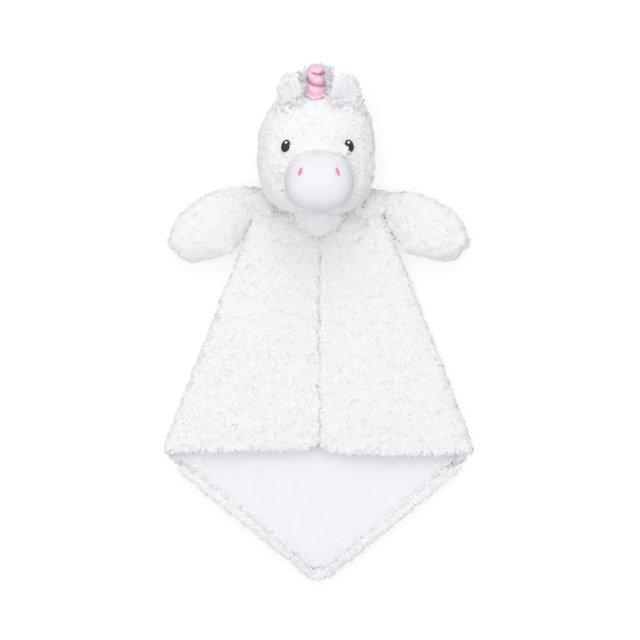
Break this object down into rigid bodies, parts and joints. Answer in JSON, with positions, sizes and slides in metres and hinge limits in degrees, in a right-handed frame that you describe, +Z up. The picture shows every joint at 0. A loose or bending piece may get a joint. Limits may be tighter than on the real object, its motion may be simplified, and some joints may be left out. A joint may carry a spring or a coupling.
{
  "type": "comfort blanket lovey",
  "caption": "Comfort blanket lovey: plush unicorn head with soft arms on a folded plush blanket with a smooth lining, lying on its back",
  "frame": {"origin": "middle of the outline on the surface that the toy lies on", "axes": "+X to the right seen from above, +Y from the tail to the head, +Z up through the front of the toy"},
  "size_m": [0.218, 0.3491, 0.0905],
  "materials": {
    "wavy_plush": "matte",
    "smooth_fabric": "matte",
    "ear_fabric": "satin",
    "polyester_stuffing": "matte",
    "horn_fabric": "satin",
    "pink_thread": "satin",
    "silver_hair": "satin",
    "black_embroidery": "satin",
    "pink_embroidery": "satin",
    "white_thread": "satin"
  },
  "bodies": {
    "arm_left": {"arm_left_cover": "wavy_plush", "arm_left_stuffing": "polyester_stuffing"},
    "arm_right": {"arm_right_cover": "wavy_plush", "arm_right_stuffing": "polyester_stuffing"},
    "root": {"blanket_lining": "smooth_fabric", "blanket_plush": "wavy_plush", "centre_seam_thread": "white_thread", "tail_rim": "wavy_plush"},
    "ear_left": {"ear_left_back": "wavy_plush", "ear_left_inner": "ear_fabric"},
    "ear_right": {"ear_right_back": "wavy_plush", "ear_right_inner": "ear_fabric"},
    "head": {"eye_left": "black_embroidery", "eye_left_glint": "white_thread", "eye_right": "black_embroidery", "eye_right_glint": "white_thread", "forelock": "silver_hair", "head_cover": "wavy_plush", "head_stuffing": "polyester_stuffing", "horn_cover": "horn_fabric", "horn_stuffing": "polyester_stuffing", "horn_thread": "pink_thread", "muzzle_cover": "smooth_fabric", "muzzle_stuffing": "polyester_stuffing", "nostril_left": "pink_embroidery", "nostril_right": "pink_embroidery"},
    "neck": {"neck_cover": "wavy_plush", "neck_stuffing": "polyester_stuffing"}
  },
  "joints": [
    {"name": "head_nod", "type": "hinge", "parent": "root", "child": "neck", "pos_m": [0, 0.0825, 0.0243], "axis": [1, 0, 0], "range_deg": [-25, 10], "stiffness_Nm_per_rad": 0.2},
    {"name": "head_turn", "type": "hinge", "parent": "neck", "child": "head", "pos_m": [0, 0.0825, 0.0243], "axis": [0, 0.9519, 0.3064], "range_deg": [-45, 45], "stiffness_Nm_per_rad": 0.1},
    {"name": "arm_left_fold", "type": "hinge", "parent": "root", "child": "arm_left", "pos_m": [-0.05204, 0.08077, 0.0078], "axis": [0.3609, 0.9326, 0], "range_deg": [-30, 42], "stiffness_Nm_per_rad": 0.03},
    {"name": "arm_right_fold", "type": "hinge", "parent": "root", "child": "arm_right", "pos_m": [0.05204, 0.08077, 0.0078], "axis": [0.3609, -0.9326, 0], "range_deg": [-30, 42], "stiffness_Nm_per_rad": 0.03},
    {"name": "ear_left_flop", "type": "hinge", "parent": "head", "child": "ear_left", "pos_m": [-0.0185, 0.1485, 0.06283], "axis": [0.8665, 0, 0.4991], "range_deg": [-35, 32], "stiffness_Nm_per_rad": 0.003},
    {"name": "ear_right_flop", "type": "hinge", "parent": "head", "child": "ear_right", "pos_m": [0.0185, 0.1485, 0.06283], "axis": [0.8665, 0, -0.4991], "range_deg": [-35, 32], "stiffness_Nm_per_rad": 0.003}
  ]
}
